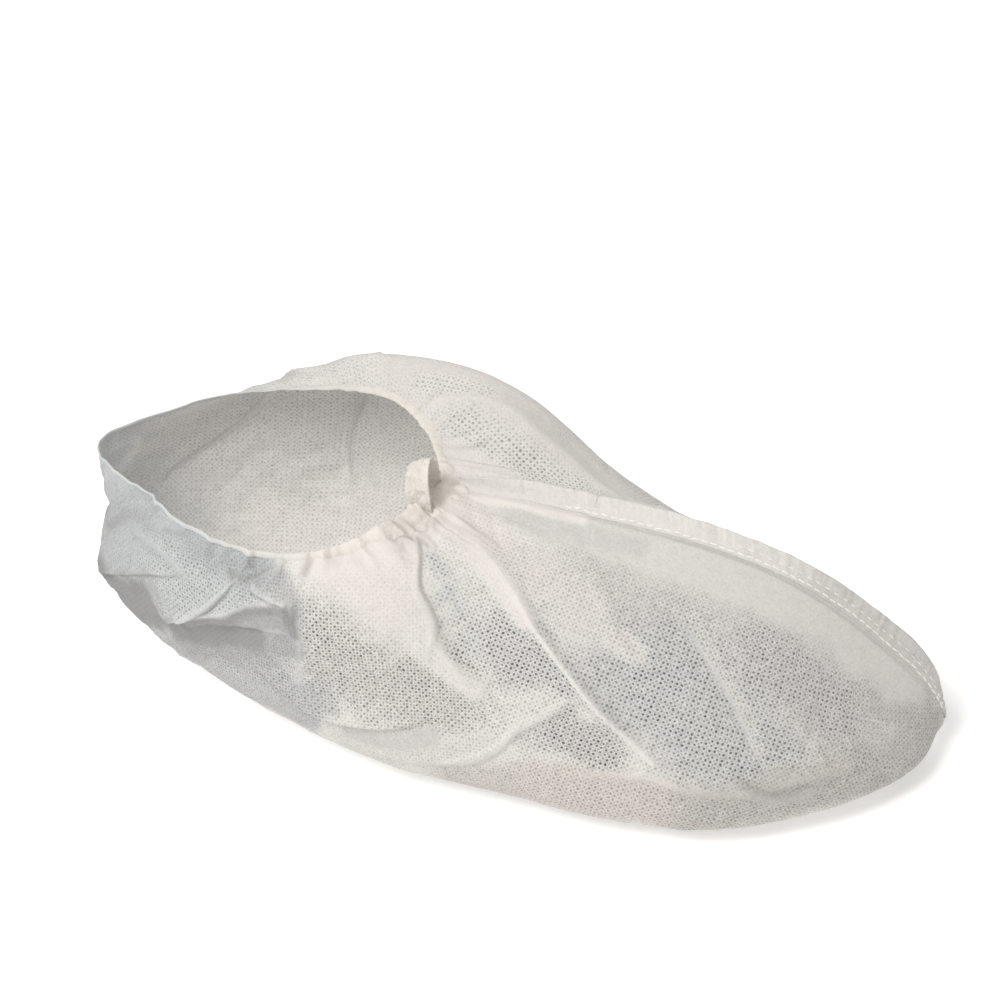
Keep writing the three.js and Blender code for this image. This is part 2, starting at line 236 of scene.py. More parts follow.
# Folds run along (section, column) places. Each stands by its rise, in mm, and runs out over a width to its
# left and another to its right. A tuck pushes the crest over its narrow side, sharp pinches it, clear is the
# width of crest without bond points, and the crease shade is how dark the painted shade is in the crevice
# on its narrow side.
FOLDS = {
    "long_crease_top": dict(
        rise=3, left=7, right=12, tuck=0, sharp=1.5, clear=2, crease_shade=0,
        path=((1.05, 0.12), (1.65, 0.34), (1.95, 0.6), (2.15, 0.93), (2.25, 1.2))),
    "long_crease": dict(
        rise=3.4, left=4, right=5, tuck=0, sharp=1.5, clear=1, crease_shade=0.2,
        path=((2.15, 0.93), (2.25, 1.2), (2.25, 1.48), (2.2, 1.85), (2.08, 2.3))),
    "throat_streak": dict(
        rise=1.8, left=3, right=5, tuck=0, sharp=1.5, clear=3, crease_shade=0.1,
        path=((0.32, 0.12), (0.22, 0.33), (0.2, 0.53), (0.22, 0.75))),
    "ruffle_low": dict(
        rise=1.8, left=2, right=3, tuck=0, sharp=1.2, clear=2, crease_shade=0.6,
        path=((3.1, 0.2), (2.95, 0.3), (2.85, 0.24), (2.7, 0.32), (2.55, 0.22))),
    "ruffle_high": dict(
        rise=1.6, left=2, right=2.5, tuck=0, sharp=1.2, clear=2, crease_shade=0.5,
        path=((2.6, 0.2), (2.3, 0.24), (2, 0.16), (1.6, 0.18))),
    "ruffle_end": dict(
        rise=1.4, left=2, right=2, tuck=0, sharp=1.2, clear=1.5, crease_shade=0.6,
        path=((2.5, 0.2), (2.45, 0.34), (2.6, 0.42))),
    "overlap": dict(
        rise=2.4, left=2, right=24, tuck=0.8, sharp=1.2, clear=1, crease_shade=0.35,
        path=(
            (2.55, 0.2), (2.67, 0.32), (2.95, 0.62), (3.07, 0.85), (3.08, 1.1), (3.09, 1.28), (3.14, 1.42))),
    "overlap_end": dict(
        rise=2, left=6, right=18, tuck=0.8, sharp=1.3, clear=1.5, crease_shade=0.1,
        path=((3.15, 1.2), (3.1, 1.55), (3, 1.85))),
    "bulge_side": dict(
        rise=3, left=16, right=8, tuck=0, sharp=1.5, clear=2, crease_shade=0,
        path=((4.3, 0.65), (4.15, 1.12), (4.1, 1.7), (4.15, 2.1))),
    "pouch": dict(
        rise=2.2, left=18, right=3, tuck=0.5, sharp=1.2, clear=1, crease_shade=0.06,
        path=((3.6, 2.8), (3.2, 2.6), (3, 2.43), (2.8, 2.18), (2.3, 1.76))),
    "pouch_line": dict(
        rise=3, left=16, right=3, tuck=1.5, sharp=1.3, clear=0, crease_shade=0.4,
        path=((4.75, 1.95), (4.6, 2.03), (4.3, 2.22), (4.05, 2.42), (3.8, 2.4), (3.6, 2.36), (3.4, 2.26))),
    "heel_flap": dict(
        rise=4.5, left=20, right=7, tuck=0.8, sharp=1.2, clear=0.8, crease_shade=0,
        path=((5.35, 2.05), (5.1, 1.61), (4.95, 1.47), (4.8, 1.33), (4.6, 1.12), (4.4, 1.02), (4.2, 0.96))),
    "heel_diagonal": dict(
        rise=2.6, left=7, right=1.6, tuck=0.5, sharp=1.9, clear=1, crease_shade=0.8,
        path=((5.3, 2), (5.1, 1.6), (4.9, 1.12), (4.8, 0.6))),
    "heel_pinch": dict(
        rise=2.4, left=5, right=1.8, tuck=0.3, sharp=1.9, clear=0.8, crease_shade=0.6,
        path=((4.45, 0.35), (4.6, 0.68), (4.5, 0.9), (4.25, 1))),
    "heel_nick": dict(
        rise=-2.5, left=5, right=4, tuck=0, sharp=1.5, clear=0, crease_shade=0.5,
        path=((4.95, 0.4), (4.8, 0.53), (4.6, 0.36))),
    "flap_tip": dict(
        rise=2, left=3, right=5, tuck=0, sharp=1.5, clear=1.5, crease_shade=0.3,
        path=((4.25, 1), (4.25, 1.42))),
    "flap_hem": dict(
        rise=2, left=6, right=2, tuck=0.4, sharp=1.6, clear=0.8, crease_shade=0.35,
        path=((4.95, 1.72), (4.6, 1.49), (4.27, 1.43))),
    "bulge_nick": dict(
        rise=-1.2, left=3, right=3, tuck=0, sharp=1.4, clear=0, crease_shade=0.7,
        path=((4.1, 1), (4.1, 1.32))),
    "heel_line": dict(
        rise=2.4, left=12, right=2.5, tuck=1, sharp=1.4, clear=1, crease_shade=0.55,
        path=((6.6, 2.5), (6.3, 2.2), (5.7, 1.4), (5.35, 1.05))),
    "heel_drop": dict(
        rise=1.8, left=4, right=3, tuck=0, sharp=1.5, clear=0, crease_shade=0.45,
        path=((5.78, 1.5), (5.7, 1.95))),
    "heel_waist": dict(
        rise=-3.5, left=8, right=8, tuck=0, sharp=1.4, clear=0, crease_shade=0.4,
        path=((7.5, 1.2), (6.7, 1.2), (5.95, 0.25), (5.6, 0.28))),
    "heel_bright": dict(
        rise=2.6, left=6, right=4, tuck=0, sharp=1.5, clear=2, crease_shade=0.15,
        path=((5.7, 0.38), (5.4, 0.08))),
    "heel_facet": dict(
        rise=2, left=10, right=6, tuck=0, sharp=1.4, clear=1.5, crease_shade=0.1,
        path=((5.95, 0.55), (5.6, 0.75), (5.2, 1.05))),
    "heel_dent": dict(
        rise=-1.5, left=5, right=4, tuck=0, sharp=1.6, clear=0, crease_shade=0.3,
        path=((5.2, 0.8), (5.08, 0.42))),
    "hem_pinch_back": dict(
        rise=1.6, left=3, right=4, tuck=0, sharp=1.4, clear=1.5, crease_shade=0.5,
        path=((4.45, 0.05), (4.4, 0.5))),
    "hem_pinch": dict(
        rise=1.6, left=3, right=4, tuck=0, sharp=1.4, clear=1.5, crease_shade=0.5,
        path=((4.15, 0.05), (4.15, 0.5))),
    "toe_valley": dict(
        rise=-2, left=14, right=16, tuck=0, sharp=1.4, clear=1, crease_shade=0,
        path=((0.85, 1.45), (1.15, 1.78), (1.35, 2.1), (1.5, 2.4))),
    "toe_skirt": dict(
        rise=1.6, left=8, right=5, tuck=0, sharp=1.7, clear=1.5, crease_shade=0.1,
        path=((2.65, 2.53), (2.2, 2.42), (1.95, 2.55), (1.65, 2.62), (1.4, 2.6), (1.1, 2.65))),
    "toe_pinch": dict(
        rise=2.5, left=4, right=6, tuck=0, sharp=1.6, clear=2, crease_shade=0.45,
        path=((1.75, 2.5), (1.6, 2.7), (1.3, 2.72))),
    "seam_root": dict(
        rise=-0.6, left=3, right=1.8, tuck=0, sharp=1.3, clear=2, crease_shade=0.45,
        path=((0.02, 0.45), (0.02, 1.2), (0.02, 2), (0.02, 2.75))),
    "far_crease": dict(
        rise=3.5, left=9, right=14, tuck=0, sharp=1.7, clear=2.5, crease_shade=0,
        path=((10.5, 0.15), (10.9, 0.45), (11.2, 0.68), (11.55, 0.85), (11.8, 1.05), (12.2, 1.2))),
    "far_drop": dict(
        rise=5, left=20, right=5, tuck=3, sharp=1.3, clear=0, crease_shade=0.4,
        path=((9.7, 1.1), (9.3, 1.9), (9.4, 2.7))),
    "far_sag": dict(
        rise=5, left=5, right=20, tuck=3, sharp=1.3, clear=1.5, crease_shade=0.4,
        path=((10.2, 2.3), (11.2, 2.6), (12, 2.3), (12.4, 1.9))),
    "far_line": dict(
        rise=3, left=10, right=8, tuck=0, sharp=2, clear=2, crease_shade=0.15,
        path=((12.7, 0.9), (12.3, 1.6), (12.5, 2.4))),
    "far_heel": dict(
        rise=3.5, left=10, right=3, tuck=1.5, sharp=1.6, clear=2, crease_shade=0.5,
        path=((8, 1.9), (8.6, 1.5), (9.1, 0.6))),
}
# Soft pads and hollows at (section, column) places, of a rise and a reach in mm
PADS = (
    dict(turn=3.7, down=1.1, reach=26, rise=4),
    dict(turn=2.75, down=1.1, reach=14, rise=-3.5),
    dict(turn=2.45, down=1.7, reach=14, rise=-2),
    dict(turn=4.75, down=1.9, reach=14, rise=-4),
    dict(turn=5.5, down=2.1, reach=16, rise=-2.5),
    dict(turn=2.35, down=2.3, reach=12, rise=-2.5),
    dict(turn=1.2, down=1.1, reach=24, rise=1.5),
    dict(turn=0.5, down=3.05, reach=15, rise=3),
    dict(turn=0, down=2.9, reach=10, rise=-0.8),
)

ring = np.array([*BAG_SECTIONS.values(), BAG_SECTIONS["seam"]], float) * MM


def through(stops, shares):
    """Points on smooth curves through stops (stop, curve, xyz), at shares (point, curve) counted in stops."""
    run = np.concatenate([2 * stops[:1] - stops[1:2], stops, 2 * stops[-1:] - stops[-2:-1]])
    first = np.minimum(shares.astype(int), len(stops) - 2)
    a, b, c, d = (np.take_along_axis(run, (first + k)[..., None], axis=0) for k in range(4))
    ab, bc, cd = (
        np.linalg.norm(q - p, axis=-1, keepdims=True) ** 0.5 + 1e-9 for p, q in ((a, b), (b, c), (c, d)))
    leave = ((b - a) / ab - (c - a) / (ab + bc) + (c - b) / bc) * bc
    arrive = ((c - b) / bc - (d - b) / (bc + cd) + (d - c) / cd) * bc
    w = (shares - first)[..., None]
    bend = (-3 * b + 3 * c - 2 * leave - arrive) * w**2 + (2 * b - 2 * c + leave + arrive) * w**3
    return b + leave * w + bend


def bag_places(turn, down):
    """Points on the smooth bag, at sections counted by turn and columns counted by down."""
    turn, down = np.broadcast_arrays(np.asarray(turn, float), np.asarray(down, float))
    ribs = through(ring, np.repeat(turn.reshape(-1, 1), len(BAG_COLUMNS), axis=1))
    places = through(ribs.swapaxes(0, 1), down.reshape(1, -1))[0]
    places[:, 2] = np.where(down.ravel() >= SOLE_EDGE, 0, np.maximum(places[:, 2], 0))
    return places.reshape(*turn.shape, 3)


def unit(vectors):
    return vectors / (np.linalg.norm(vectors, axis=-1, keepdims=True) + 1e-12)


def run_lengths(places):
    """Way walked to each place along the first axis."""
    steps = np.linalg.norm(np.diff(places, axis=0), axis=-1)
    return np.concatenate([np.zeros_like(steps[:1]), np.cumsum(steps, axis=0)])


def points_at(stops, way, line):
    """Points of a line at stops on the way along it."""
    return np.stack([np.interp(stops, way, line[:, k]) for k in range(3)], axis=-1)


def from_table(table, at):
    """Values between the stops of a table."""
    return np.interp(at, list(table), list(table.values()))


def noise_at(places, scale, seed=0):
    """Smooth noise, about -1 to 1, at places, with so many waves to the metre."""
    shift = Vector((seed, 0, 0))
    flat = [noise.noise(Vector(place) * scale + shift) for place in places.reshape(-1, 3)]
    return np.array(flat).reshape(places.shape[:-1])


# How full the hem is drawn up, by section: a soft bunch at the throat and the near front, taut at the heel
FULLNESS = {
    0: 1.6, 0.4: 1.5, 0.8: 1.3, 2.4: 1.3, 2.8: 0.9, 3.3: 0.45, 3.8: 0.35, 4.2: 0.25, 4.8: 0.14, 5.5: 0.07,
    7: 0.07, 8: 0.12, 9: 0.25, 10: 0.4, 11: 0.35, 12: 0.4, 13: 0.8, 13.6: 1.3, 14: 1.6}
# Half sizes of the hem without fullness, and what a fullness of 1 adds to them
HEM_HALF_WIDTH = (0.5 * MM, 4.4 * MM)
HEM_HALF_THICKNESS = (0.3 * MM, 1 * MM)
RUCHE_SHARP = dict(scale=150, pinch=2.6, share=0.65)
RUCHE_SOFT = dict(scale=70, share=0.5)


def hem_fullness(turn):
    return from_table(FULLNESS, turn)


def hem_half_width(turn):
    return HEM_HALF_WIDTH[0] + HEM_HALF_WIDTH[1] * hem_fullness(turn)


def ruche(rim_places):
    """Puckers of the hem, about -1 to 1, the same all the way across it."""
    sharp = 1 - RUCHE_SHARP["pinch"] * abs(noise_at(rim_places, RUCHE_SHARP["scale"]))
    soft = noise_at(rim_places, RUCHE_SOFT["scale"], 3)
    return RUCHE_SHARP["share"] * sharp + RUCHE_SOFT["share"] * soft


near_turns = np.linspace(0, SPANS / 2, NEAR_STEPS * SPANS // 2 + 1)
far_turns = np.linspace(SPANS / 2, SPANS, FAR_STEPS * SPANS // 2 + 1)
turns = np.concatenate([near_turns, far_turns[1:]])
heel_turn = len(near_turns) - 1
fine_columns = np.linspace(0, SOLE_EDGE, FINE_ROWS + 1)
walked = run_lengths(bag_places(turns[None], fine_columns[:, None]))
row_walks = np.linspace(hem_half_width(turns), walked[-1], WALL_ROWS + 1).T
wall_columns = np.array([np.interp(row_walks[k], walked[:, k], fine_columns) for k in range(len(turns))])
sole_columns = np.tile(np.linspace(SOLE_EDGE, SPINE, SOLE_ROWS + 1)[1:], (len(turns), 1))
columns = np.concatenate([wall_columns, sole_columns], axis=1)
smooth = bag_places(turns[:, None], columns)
normals = unit(np.cross(np.gradient(smooth, axis=0), np.gradient(smooth, axis=1)))
normals[0] = normals[-1] = unit(normals[0] + normals[-1])


PATH_STEP = 0.8 * MM
PATH_DRAWN = 40
FADE_ENDS = (0.02, 0.98)
FOLD_BLUNT = 0.5
CREST_CLEARED = 0.95
CREVICE_AT = 0.6


def smooth_path(path, step=PATH_STEP):
    """Places on the smooth bag about a step apart, along a line through (section, column) places."""
    stops = np.array([(turn, down, 0) for turn, down in path], float)[:, None]
    run = through(stops, np.linspace(0, len(path) - 1, PATH_DRAWN * len(path))[:, None])[:, 0]
    line = bag_places(run[:, 0], run[:, 1])
    way = run_lengths(line)
    return points_at(np.linspace(0, way[-1], int(way[-1] / step) + 2), way, line)


def swell_fade(count, blunt):
    """Rise from nearly nothing and fall back to it over so many steps."""
    return np.sin(np.pi * np.linspace(*FADE_ENDS, count)) ** blunt


def add_fold(line, fade, rise, left, right, tuck, sharp):
    """Moves the bag's places about one fold. Returns which are near, how far, on which side, and the fade."""
    margin = max(left, right)
    close = np.all((smooth > line.min(0) - margin) & (smooth < line.max(0) + margin), axis=-1)
    nearest = ((smooth[close][:, None] - line[None]) ** 2).sum(-1).argmin(1)
    offset = smooth[close] - line[nearest]
    across = unit(np.cross(normals[close], unit(np.gradient(line, axis=0))[nearest]))
    apart = np.linalg.norm(offset, axis=-1)
    on_left = (offset * across).sum(-1) > 0
    hold = fade[nearest] * np.clip(1 - apart / np.where(on_left, left, right), 0, 1) ** sharp
    push = tuck if left < right else -tuck
    moves[close] += normals[close] * (rise * hold)[:, None] + across * (push * hold)[:, None]
    return close, apart, on_left, fade[nearest]


def lay_fold(path, rise, left, right, tuck, sharp, clear, crease_shade):
    """Adds one fold, with sizes in mm: its shape, the clear crest and the painted shade in its crevice."""
    line = smooth_path(path)
    sizes = np.array((rise, left, right, tuck)) * MM
    close, apart, on_left, fade = add_fold(line, swell_fade(len(line), FOLD_BLUNT), *sizes, sharp)
    if clear:
        cleared[close] *= 1 - CREST_CLEARED * fade * np.exp(-((apart / (clear * MM)) ** 2))
    narrow = on_left == (left < right)
    deep = apart / min(left, right) / MM
    # Painted shade on the fold's narrow side, darkest a little way out from the crest
    crevice = crease_shade * fade * narrow * np.clip(1 - abs(deep - CREVICE_AT) / CREVICE_AT, 0, 1)
    crease_shades[close] = np.maximum(crease_shades[close], crevice)


moves = np.zeros_like(smooth)
cleared = np.ones(smooth.shape[:2])
crease_shades = np.zeros(smooth.shape[:2])
for fold in FOLDS.values():
    lay_fold(**fold)
for pad in PADS:
    apart = np.linalg.norm(smooth - bag_places(pad["turn"], pad["down"]), axis=-1) / (pad["reach"] * MM)
    moves += normals * (pad["rise"] * MM * np.exp(-(apart**2)))[..., None]

# Pinches run down from the drawn-up hem, closest together at the near front and the throat
PINCH_TURNS = {"throat": (0.5, 1.8, 4), "near": (1.8, 4.7, 18), "back": (4.7, 6.6, 8), "far": (9.4, 12.6, 9)}
PINCH_RISE = (0.5, 1.5)
PINCH_WIDTH = (1.6, 4)
PINCH_UNEVEN = 1.6
PINCH_TOP = 0.02
PINCH_END = (0.25, 0.65)
PINCH_STRAY = 0.06
PINCH_SLANT = 0.16
PINCH_BEND = 0.03
PINCH_SHARP = 1.5
# How dark the painted shade in each pinch's crevice may be
PINCH_CREASE_SHADE = (0, 0.3)
dice = np.random.default_rng(5)
for first, last, count in PINCH_TURNS.values():
    for start in np.linspace(first, last, count):
        top = start + dice.uniform(-PINCH_STRAY, PINCH_STRAY)
        end = top + dice.uniform(-PINCH_SLANT, PINCH_SLANT)
        down = dice.uniform(*PINCH_END)
        width = dice.uniform(*PINCH_WIDTH)
        rise = dice.uniform(*PINCH_RISE) * dice.choice((1, 1, -1))
        crease_shade = dice.uniform(*PINCH_CREASE_SHADE)
        path = ((top, PINCH_TOP), ((top + end) / 2 + PINCH_BEND, down / 2), (end, down))
        lay_fold(
            path, rise, left=width, right=PINCH_UNEVEN * width,
            tuck=0, sharp=PINCH_SHARP, clear=0, crease_shade=crease_shade)

# Small creases of a thin web that was packed flat: short pinched lines at random places and turns. They are
# everywhere, and most at the crushed heel. The rise is in mm.
CREASE_ZONES = {
    "all": dict(count=260, first=0, last=14, rise=(0.15, 0.6)),
    "heel": dict(count=70, first=4.5, last=6.6, rise=(0.6, 1.4)),
}
CREASE_LENGTH = (8, 34)
CREASE_WIDTH = (2.5, 7)
CREASE_UNEVEN = 0.7
CREASE_SHARP = 1.4
CREASE_STEPS = 24
CREASE_UPRIGHT = (0, 0.05, 1)
dice = np.random.default_rng(11)
for zone in CREASE_ZONES.values():
    first, last = np.searchsorted(turns, (zone["first"], zone["last"]))
    for _ in range(zone["count"]):
        centre = dice.integers(first, last), dice.integers(WALL_ROWS)
        angle = dice.uniform(0, np.pi)
        level = unit(np.cross(normals[centre], CREASE_UPRIGHT))
        heading = np.cos(angle) * level + np.sin(angle) * np.cross(normals[centre], level)
        reach = dice.uniform(*CREASE_LENGTH) * MM / 2
        line = smooth[centre] + heading * np.linspace(-reach, reach, CREASE_STEPS)[:, None]
        rise = dice.uniform(*zone["rise"]) * dice.choice((-1, 1)) * MM
        width = dice.uniform(*CREASE_WIDTH) * MM
        add_fold(
            line, swell_fade(CREASE_STEPS, 1), rise, left=width, right=CREASE_UNEVEN * width,
            tuck=0, sharp=CREASE_SHARP)

# Slow swells, crumples that grow to the back of the bag, and gathers that run down from the hem
SWELL = 1 * MM
SWELL_SCALE = 28
CRUMPLE = 0.7 * MM
CRUMPLE_SCALE = 75
CRUMPLE_LEVEL = 0.3
LOOSE_LEAST = 0.35
LOOSE_FROM = -30 * MM
LOOSE_OVER = 60 * MM
GATHER = 1.6 * MM
GATHER_REACH = 15 * MM

swell = noise_at(smooth, SWELL_SCALE)
crumple = CRUMPLE_LEVEL - abs(noise_at(smooth, CRUMPLE_SCALE, 4))
loose = LOOSE_LEAST + np.clip((LOOSE_FROM - smooth[..., 0]) / LOOSE_OVER, 0, 1)
from_rim = np.concatenate([row_walks, np.tile(row_walks[:, -1:], (1, SOLE_ROWS))], axis=1)
gathers = (hem_fullness(turns) * ruche(bag_places(turns, 0)))[:, None] * np.exp(-from_rim / GATHER_REACH)
lift = SWELL * swell + CRUMPLE * crumple * loose + GATHER * gathers
hold = np.clip(SOLE_EDGE - columns, 0, 1)[..., None]
folded = smooth + hold * (moves + lift[..., None] * normals)
folded[..., 2] = np.maximum(folded[..., 2], 0)
folded[0] = folded[-1] = (folded[0] + folded[-1]) / 2

# How the web looks along (section, column) paths, each painted over the last out to a reach in mm. Show is
# how dark its bond points are, most where it lies close on what it covers. Shade is painted shade: how
# grey the web is where it turns under, lies below flaps and faces away from the light, and below 0 it is
# painted light on lit crests, edges and bulges. The column after it is painted coloured light: how warm,
# or below 0 how cool: a cool cast in shade and at the heel, warm light where lit and reflected on the skirt.
PATCH_COLUMNS = ("show", "shade", "light_tint", "reach", "path")
PATCHES = {
    "toe_middle": (0.5, 0.32, 0, 26, ((0.75, 1.15), (0.75, 1.5), (0.6, 2), (0.6, 2.4))),
    "toe_close": (0.84, 0.26, -0.35, 22, ((1.65, 1.65), (1.5, 1.9), (1.55, 2.3))),
    "toe_side": (0.8, 0.32, -0.2, 12, ((0.75, 1.9), (0.8, 2.3))),
    "toe_tip": (0.45, 0.46, 0.2, 13, ((0.25, 2.6), (0.4, 2.9), (0.75, 2.85))),
    "toe_lit": (0.5, 0, 0.15, 4.5, ((1.62, 1.36), (1.56, 1.5))),
    "toe_streak": (0.65, 0.24, 0, 2.5, ((0.8, 1.53), (1.05, 1.73), (1.25, 2.02), (1.45, 2.33))),
    "throat_lit": (0.3, -0.05, 0.2, 9, ((1.3, 0.3), (1.3, 0.5))),
    "crease_lit": (0.45, 0.02, 0.2, 9, ((1.65, 0.75), (1.55, 1), (1.6, 1.15))),
    "under_fin": (
        0, 0.16, 0, 10, ((0.12, 0.55), (0.2, 0.9), (0.24, 1.23), (0.22, 1.73), (0.16, 2.25), (0.1, 2.6))),
    "root_hollow": (0, 0.34, 0, 4, ((0.42, 0.5), (0.5, 0.65), (0.48, 0.8), (0.36, 1), (0.3, 1.2))),
    "root_ridge": (0, -0.25, 0.1, 2.5, ((0.2, 0.25), (0.14, 0.53), (0.15, 0.7), (0.1, 0.9))),
    "between": (0.52, 0.06, -0.1, 13, ((2.5, 1), (2.5, 1.3), (2.55, 1.7))),
    "between_low": (0.95, 0.22, -0.2, 12, ((2.6, 1.45), (2.5, 1.75), (2.6, 1.95))),
    "overlap_close": (0.72, 0.06, -0.5, 6, ((2.8, 0.6), (2.95, 1.1), (2.93, 1.45))),
    "crease_band": (0.1, -0.1, 0.15, 3.5, ((1.2, 0.14), (1.8, 0.36), (2.08, 0.6), (2.22, 0.9), (2.28, 1.15))),
    "crease_line": (0.1, -0.3, 0.1, 0.9, ((2.22, 1), (2.27, 1.2), (2.27, 1.48), (2.22, 1.85), (2.1, 2.3))),
    "pouch_edge": (0.5, 0, 0, 7, ((3, 2.1), (2.6, 1.9))),
    "under_pouch": (1, 0.35, -0.1, 8, ((2.5, 2.1), (2.35, 2.25))),
    "skirt_back": (0.5, 0.3, 0.4, 8, ((3.3, 2.9), (3, 2.8), (2.7, 2.7))),
    "skirt": (0.65, 0.18, 0.6, 9, ((2.75, 2.7), (2.4, 2.7), (2, 2.75))),
    "skirt_toe": (0.6, 0.5, 0.3, 9, ((2, 2.76), (1.6, 2.7), (1.2, 2.72), (1.05, 2.78))),
    "skirt_pinch": (0.5, 0.44, 0.3, 3, ((1.5, 2.5), (1.4, 2.58), (1.1, 2.62))),
    "bulge": (0.85, 0.28, 0.1, 20, ((3.9, 1.5), (3.55, 1.75), (3.3, 1.9))),
    "bulge_lit": (0.2, -0.08, 0.15, 15, ((3.6, 0.25), (3.4, 0.6), (3.3, 1))),
    "bulge_fold": (0.25, 0, 0, 4, ((3.3, 1.35), (3.1, 1.7), (2.97, 1.85))),
    "bulge_back": (0.6, 0.55, -0.3, 6, ((4.35, 0.7), (4.2, 1.05), (4.15, 1.5))),
    "overlap_edge": (0.1, -0.15, 0.1, 0.9, ((2.75, 0.34), (3.12, 0.85), (3.13, 1.25), (3.18, 1.42))),
    "front_hem": (0.05, -0.25, 0.2, 8, ((4, 0.1), (3.4, 0.2), (2.8, 0.2), (2.3, 0.2), (1.6, 0.15))),
    "pouch_strip": (0.4, 0.15, 0, 6, ((3.9, 2.85), (3.45, 2.68), (3.05, 2.38))),
    "pouch_hollow": (0.05, 0.4, 0, 4, ((3.85, 2.6), (3.6, 2.55), (3.35, 2.4))),
    "pouch_rim": (0.3, -0.05, 0, 1, ((3.3, 2.62), (3, 2.38), (2.8, 2.13), (2.4, 1.8))),
    "waist_low": (0.7, 0.5, -0.45, 14, ((4.7, 2.2), (4.4, 2.1), (4.2, 2.3))),
    "bottom_back": (0.55, 0.48, -0.45, 9, ((5.7, 3.2), (5.2, 2.9), (4.6, 2.6), (4.2, 2.6))),
    "heel_top": (0.25, 0.28, -0.9, 22, ((6.8, 0.3), (5.7, 0.2))),
    "heel_middle": (0.35, 0.4, -0.8, 18, ((6.8, 1.5), (6.3, 1.3), (5.6, 0.7))),
    "heel_dots": (0.65, 0.25, -0.7, 13, ((5.45, 1.55), (5.2, 1.1), (4.95, 0.8), (4.75, 1))),
    "heel_rim": (0.4, 0.55, -0.9, 8, ((5.3, 0.2), (4.9, 0.3), (4.65, 0.35))),
    "heel_back": (0.3, 0.3, -0.4, 26, ((8, 2), (7.4, 2.2), (6.9, 2.4))),
    "heel_turn": (0.2, 0.65, -0.6, 18, ((6.9, 2.4), (6.5, 2.5))),
    "heel_low": (0.1, 1.1, -0.8, 15, ((6.4, 2.5), (5.95, 2.5), (5.6, 2.2))),
    "heel_fade": (0.3, 0.6, -0.7, 4, ((5.6, 1.35), (5.48, 1.7), (5.38, 2))),
    "flap_fade": (0.4, 0.75, -0.5, 7, ((5.2, 2.45), (4.8, 2.1), (4.45, 1.75), (4.25, 1.6))),
    "flap_below": (0.1, 1.15, -0.7, 6, ((5.3, 2.2), (5, 1.95), (4.7, 1.7), (4.55, 1.62))),
    "flap_facet": (0, 0.95, -0.6, 2.8, ((5.15, 1.85), (4.95, 1.64), (4.8, 1.5), (4.6, 1.27), (4.33, 1.15))),
    "flap_side": (0, 0.85, -0.5, 3, ((4.65, 1.46), (4.5, 1.38), (4.3, 1.32))),
    "flap_hollow": (0.2, 1, -0.8, 2.5, ((4.22, 1.12), (4.14, 1.38))),
    "flap_edge": (0.1, 0, -0.6, 0.8, ((5.3, 2.02), (5.12, 1.58), (4.93, 1.1), (4.8, 0.7))),
    "flap_twist": (0.2, 0.05, -0.4, 0.9, ((4.62, 0.66), (4.5, 0.88), (4.25, 1))),
    "far_band": (0.05, 0.1, 0.1, 9, ((10, 0.9), (10.45, 0.7), (11.1, 1), (11.65, 1.2), (12, 1.4))),
    "far_panel": (0.62, -0.12, -0.1, 7, ((11.3, 0.35), (11.8, 0.6), (12.3, 0.9))),
    "far_top": (0.55, -0.05, 0, 5, ((10.4, 0.43), (10.95, 0.65))),
    "far_plain": (0.1, -0.15, 0.1, 7, ((11.9, 0.12), (12.75, 0.35))),
    "far_side": (0.55, 0.15, 0, 22, ((12.6, 1.8), (11.6, 2), (10.4, 2))),
    "far_back": (0.4, 0.14, -0.2, 26, ((9.4, 1.8), (8.4, 1.6))),
}
PATCH_STEP = 2 * MM
PATCH_EDGE = 1.5
RAGGED_REACH = 12
RAGGED = (dict(scale=70, seed=8, share=0.4), dict(scale=190, seed=9, share=0.3))
SHOW_ELSEWHERE = 0.35

look = {name: np.zeros(smooth.shape[:2]) for name in ("show", "shade", "light_tint")}
look["show"] += SHOW_ELSEWHERE
ragged = sum(wave["share"] * noise_at(smooth, wave["scale"], wave["seed"]) for wave in RAGGED)
for row in PATCHES.values():
    patch = dict(zip(PATCH_COLUMNS, row))
    line = smooth_path(patch["path"], PATCH_STEP)
    apart = np.sqrt(((smooth[:, :, None] - line) ** 2).sum(-1).min(-1)) / (patch["reach"] * MM)
    cover = np.clip(PATCH_EDGE - apart * (1 + ragged * min(1, patch["reach"] / RAGGED_REACH)), 0, 1)
    cover = cover * cover * (3 - 2 * cover)
    for name in look:
        look[name] += cover * (patch[name] - look[name])
look["show"] *= cleared
# Painted shade in the crevices of folds and pinches
look["crease_shade"] = crease_shades

WEB_WHITE = (0.93, 0.905, 0.875, 1)
WEB_SHADE = (0.31, 0.31, 0.31, 1)
WEB_COOL_LIGHT = (0.68, 0.75, 0.79, 1)
WEB_WARM_LIGHT = (0.82, 0.7, 0.62, 1)
WEB_GLOW = (0.88, 0.86, 0.83, 1)
BOND_DARK = (0.075, 0.08, 0.085, 1)
# Colour of the painted shade in the crevices of folds
CREASE_SHADE_COLOUR = (0.16, 0.155, 0.15, 1)
WEB_ROUGHNESS = 0.82
WEB_SPECULAR = 0.25
WEB_RELIEF = 0.4 * MM
WEB_SCALES = {"patches": 60, "clouds": 300, "fibres": 1000}
GLOW_SHARE = 0.28
BOND_PITCH = 1.77 * MM
BOND_DRIFT = 0.9 * MM
BOND_DRIFT_SCALE = 450
BOND_UNEVEN = 0.2
# Where a bond point and the pale ring round it begin to fade and are gone, in pitches
BOND_DOT = (0.14, 0.42)
BOND_RING = (0.34, 0.62)


